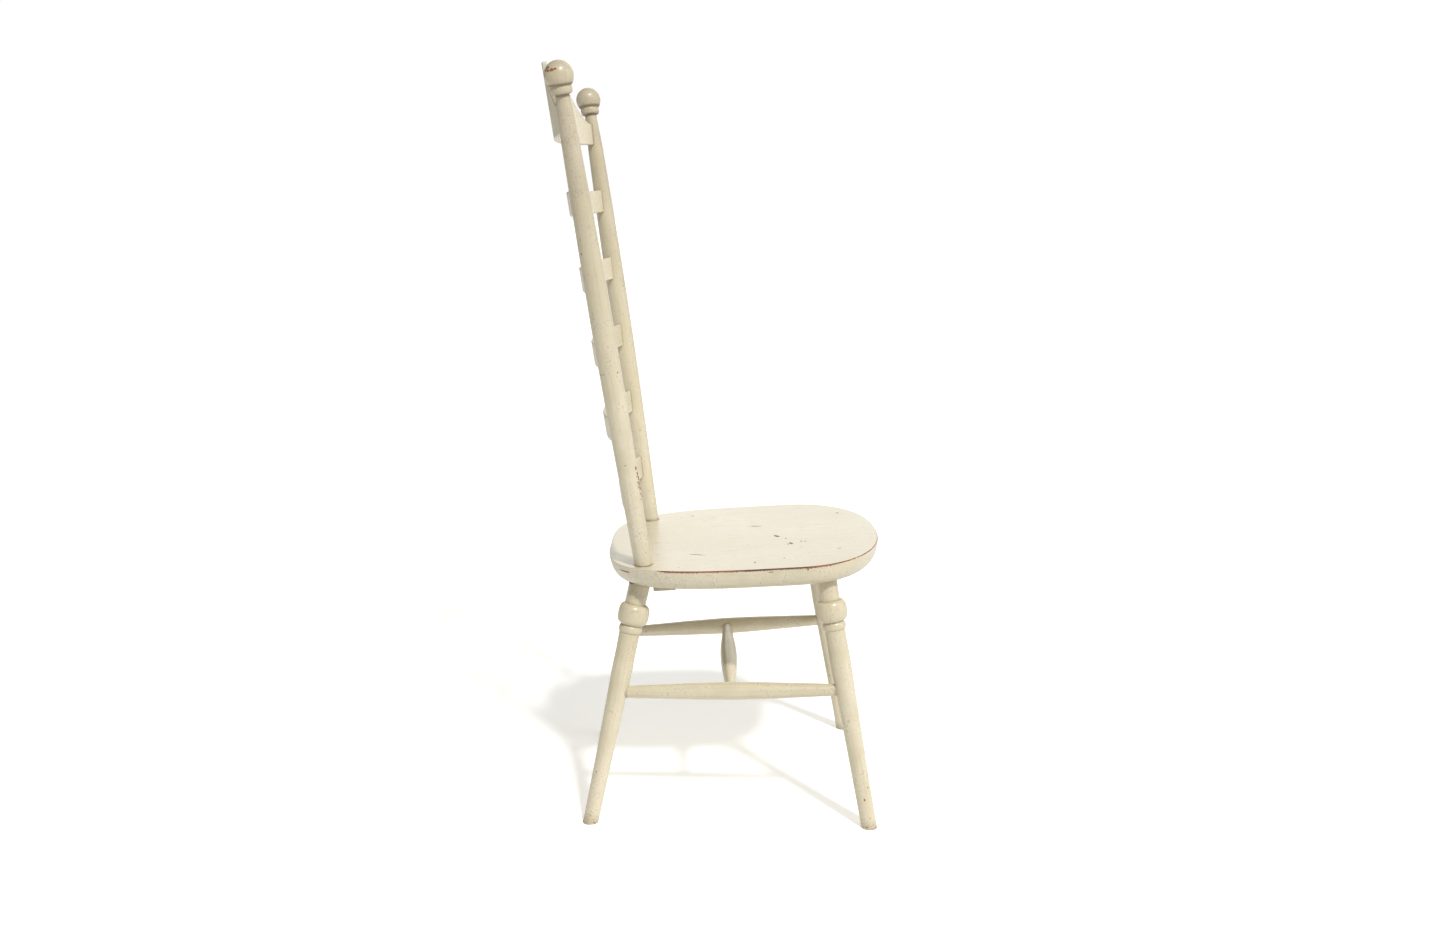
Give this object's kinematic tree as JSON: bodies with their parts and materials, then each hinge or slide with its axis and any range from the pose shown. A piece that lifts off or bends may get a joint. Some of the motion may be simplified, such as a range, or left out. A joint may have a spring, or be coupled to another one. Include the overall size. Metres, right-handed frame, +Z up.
{
  "type": "dining chair",
  "caption": "Tall ladder-back dining chair in painted wood with a plank seat, turned legs joined by an H-stretcher, bowed slats, an arched crest and ball finials.",
  "frame": {"origin": "on the floor, under the middle of the chair's whole bounding box", "axes": "+Z up, the chair faces -Y, and X = 0 is the plane that the left and right sides mirror across"},
  "size_m": [0.5562, 0.5416, 1.197],
  "materials": {
    "painted_wood": "cream oil paint, brushed, semi-gloss, chipped and worn on its edges",
    "painted_seat": "cream oil paint over boards that run front to rear, top edge worn through to reddish brown",
    "painted_underside": "thin cream paint, matt",
    "screw_steel": "dull, slightly tarnished"
  },
  "bodies": {
    "root": {"seat_board_right": "painted_seat", "seat_board_middle": "painted_seat", "seat_board_left": "painted_seat", "leg_front_right": "painted_wood", "leg_front_left": "painted_wood", "leg_rear_right": "painted_wood", "leg_rear_left": "painted_wood", "side_stretcher_right": "painted_wood", "side_stretcher_left": "painted_wood", "cross_stretcher": "painted_wood", "post_right": "painted_wood", "post_left": "painted_wood", "ladder_slat_1": "painted_wood", "ladder_slat_2": "painted_wood", "ladder_slat_3": "painted_wood", "ladder_slat_4": "painted_wood", "ladder_slat_5": "painted_wood", "crest_slat": "painted_wood", "rear_batten": "painted_underside", "batten_screws": "screw_steel"}
  },
  "joints": []
}
